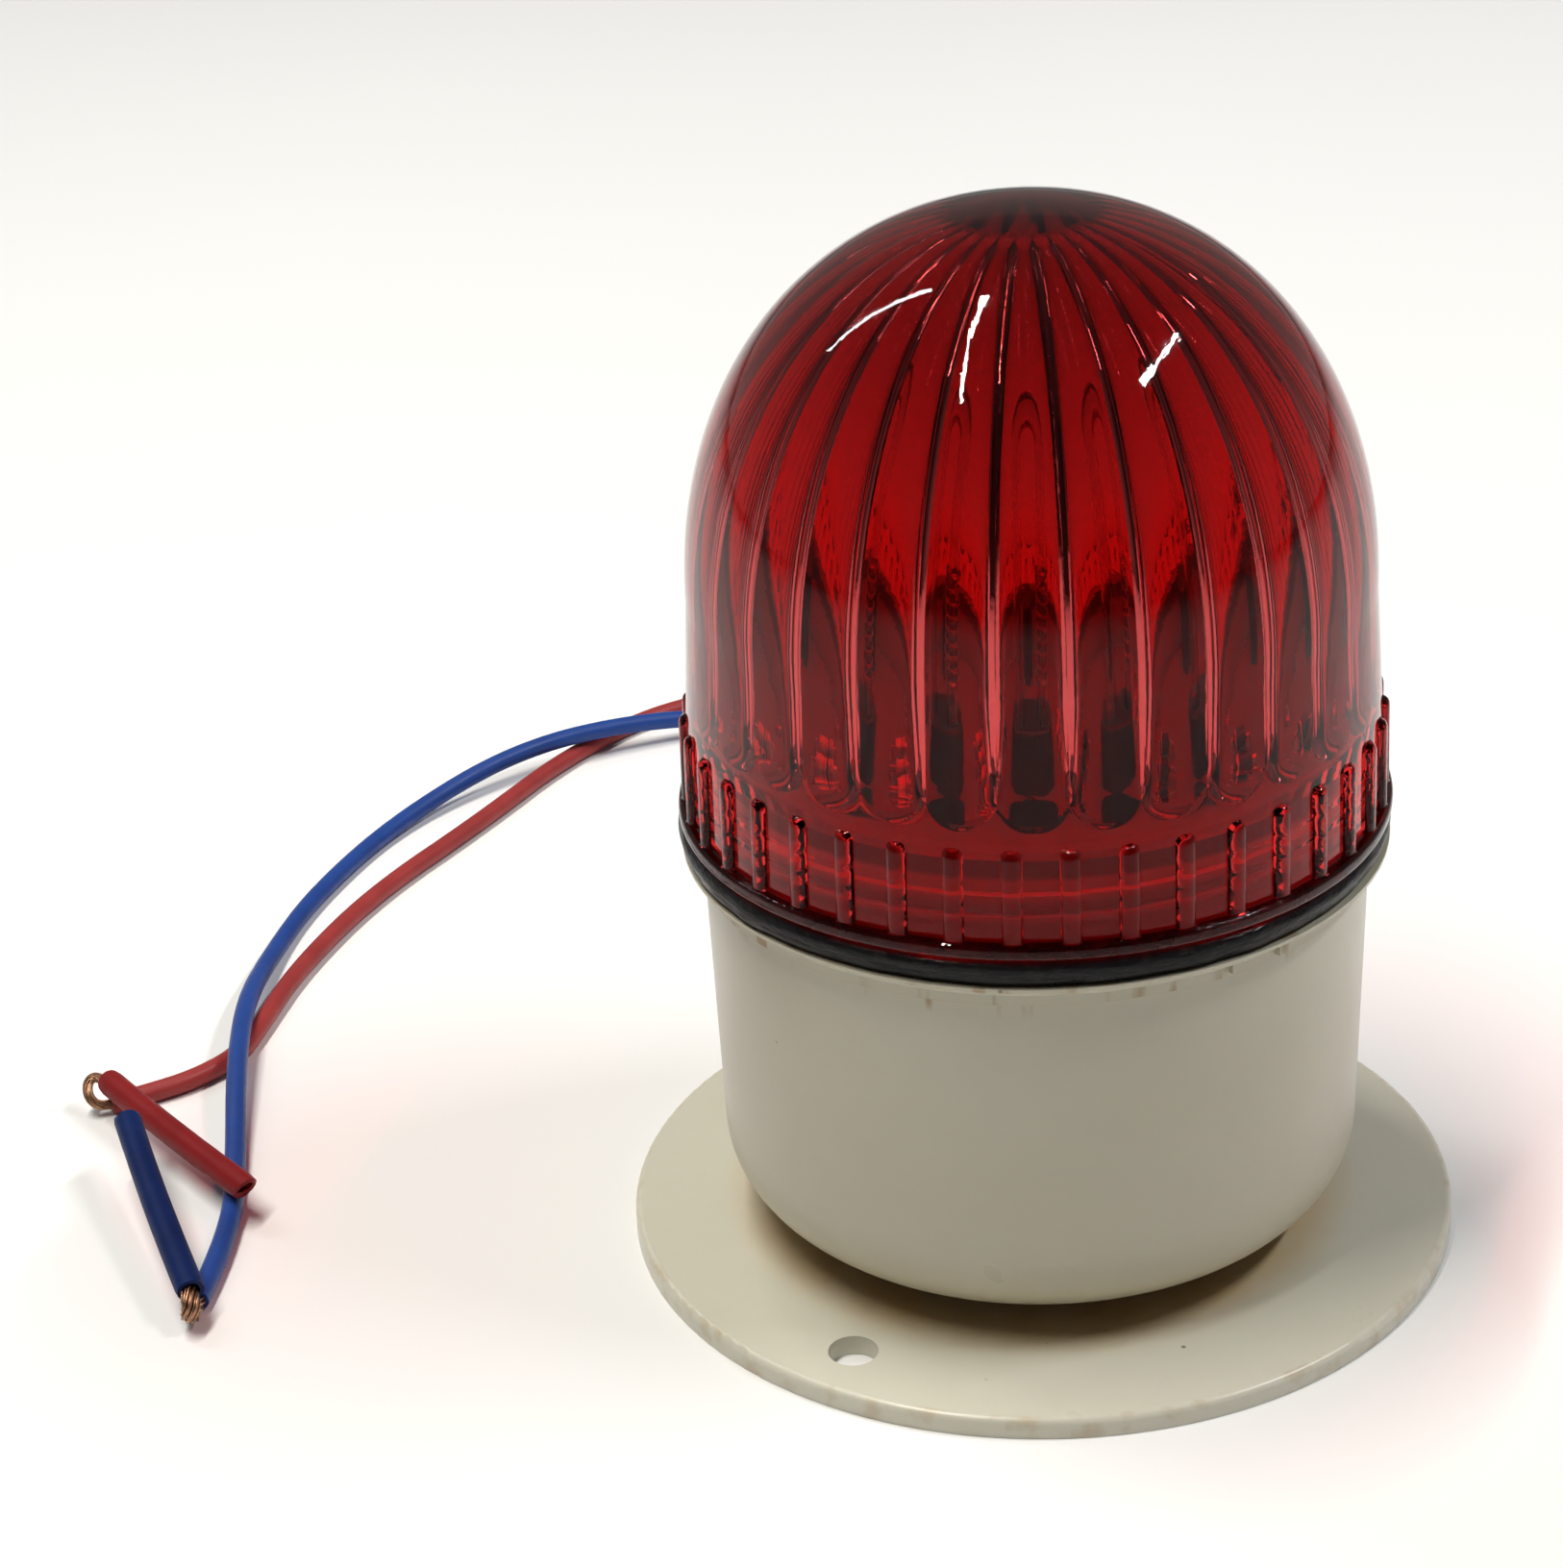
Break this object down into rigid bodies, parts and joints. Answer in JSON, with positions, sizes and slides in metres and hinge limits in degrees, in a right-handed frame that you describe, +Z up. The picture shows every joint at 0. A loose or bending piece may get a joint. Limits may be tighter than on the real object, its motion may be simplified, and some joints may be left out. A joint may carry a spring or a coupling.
{
  "type": "alarm siren",
  "caption": "Round alarm siren with a screw-on fluted red lens over a flash tube, a cup-shaped housing, a mounting flange and two free supply leads.",
  "frame": {"origin": "centre of the mounting flange's underside, on the surface that the siren stands on", "axes": "+Z up along the axis of the flange, housing, thread and lens; the supply leads leave the housing towards +Y"},
  "size_m": [0.1756, 0.2005, 0.1262],
  "materials": {
    "flange_plastic": "moulded, slightly yellowed",
    "housing_plastic": "moulded, slightly yellowed, scuffed",
    "gasket_rubber": "semi-gloss",
    "lens_red": "clear red, smooth outside, fluted inside",
    "grommet_rubber": "matte",
    "blue_insulation": "soft PVC",
    "red_insulation": "soft PVC",
    "blue_sleeve_plastic": "soft PVC tube",
    "red_sleeve_plastic": "soft PVC tube",
    "copper_strands": "bare stranded copper",
    "zinc_screw": "zinc plated",
    "board_laminate": "paper laminate with solder mask",
    "black_plastic": "moulded",
    "nylon_white": "natural nylon",
    "tube_glass": "clear",
    "electrode_metal": "satin",
    "trigger_wire_metal": "tinned",
    "capacitor_sleeve": "shrink sleeve",
    "ferrite": "sintered ferrite",
    "winding_tape": "polyester tape",
    "coil_dip": "dipped",
    "resistor_body": "lacquered",
    "diode_body": "moulded",
    "terminal_plastic": "moulded",
    "diaphragm_brass": "rolled sheet",
    "piezo_ceramic": "silvered ceramic",
    "sounder_wire_insulation": "thin PVC"
  },
  "bodies": {
    "base": {"base_housing": "housing_plastic", "blue_inner_lead": "blue_insulation", "blue_lead": "blue_insulation", "blue_sleeve": "blue_sleeve_plastic", "blue_strands": "copper_strands", "board_screws": "zinc_screw", "cable_grommet": "grommet_rubber", "cable_tie": "nylon_white", "circuit_board": "board_laminate", "diodes": "diode_body", "flange_screws": "zinc_screw", "flash_tube": "tube_glass", "mounting_flange": "flange_plastic", "red_inner_lead": "red_insulation", "red_lead": "red_insulation", "red_sleeve": "red_sleeve_plastic", "red_strands": "copper_strands", "resistors": "resistor_body", "sounder_case": "black_plastic", "sounder_ceramic": "piezo_ceramic", "sounder_clamp_ring": "black_plastic", "sounder_diaphragm": "diaphragm_brass", "sounder_screws": "zinc_screw", "sounder_wires": "sounder_wire_insulation", "storage_capacitor": "capacitor_sleeve", "switching_transistor": "black_plastic", "terminal_block": "terminal_plastic", "terminal_screws": "zinc_screw", "transformer_core": "ferrite", "transformer_winding": "winding_tape", "trigger_coil": "coil_dip", "trigger_wire": "trigger_wire_metal", "tube_electrodes": "electrode_metal", "tube_socket": "black_plastic"},
    "seal": {"lens_gasket": "gasket_rubber"},
    "cover": {"lens": "lens_red"}
  },
  "joints": [
    {"name": "lens_lift", "type": "slide", "parent": "base", "child": "seal", "axis": [0, 0, 1], "range_m": [0, 0.0065]},
    {"name": "lens_turn", "type": "hinge", "parent": "seal", "child": "cover", "pos_m": [0, 0, 0], "axis": [0, 0, 1], "range_deg": [0, 936]}
  ],
  "couplings": [
    {"joint": "lens_lift", "follows": "lens_turn", "m_per_rad": 0.00039789}
  ]
}
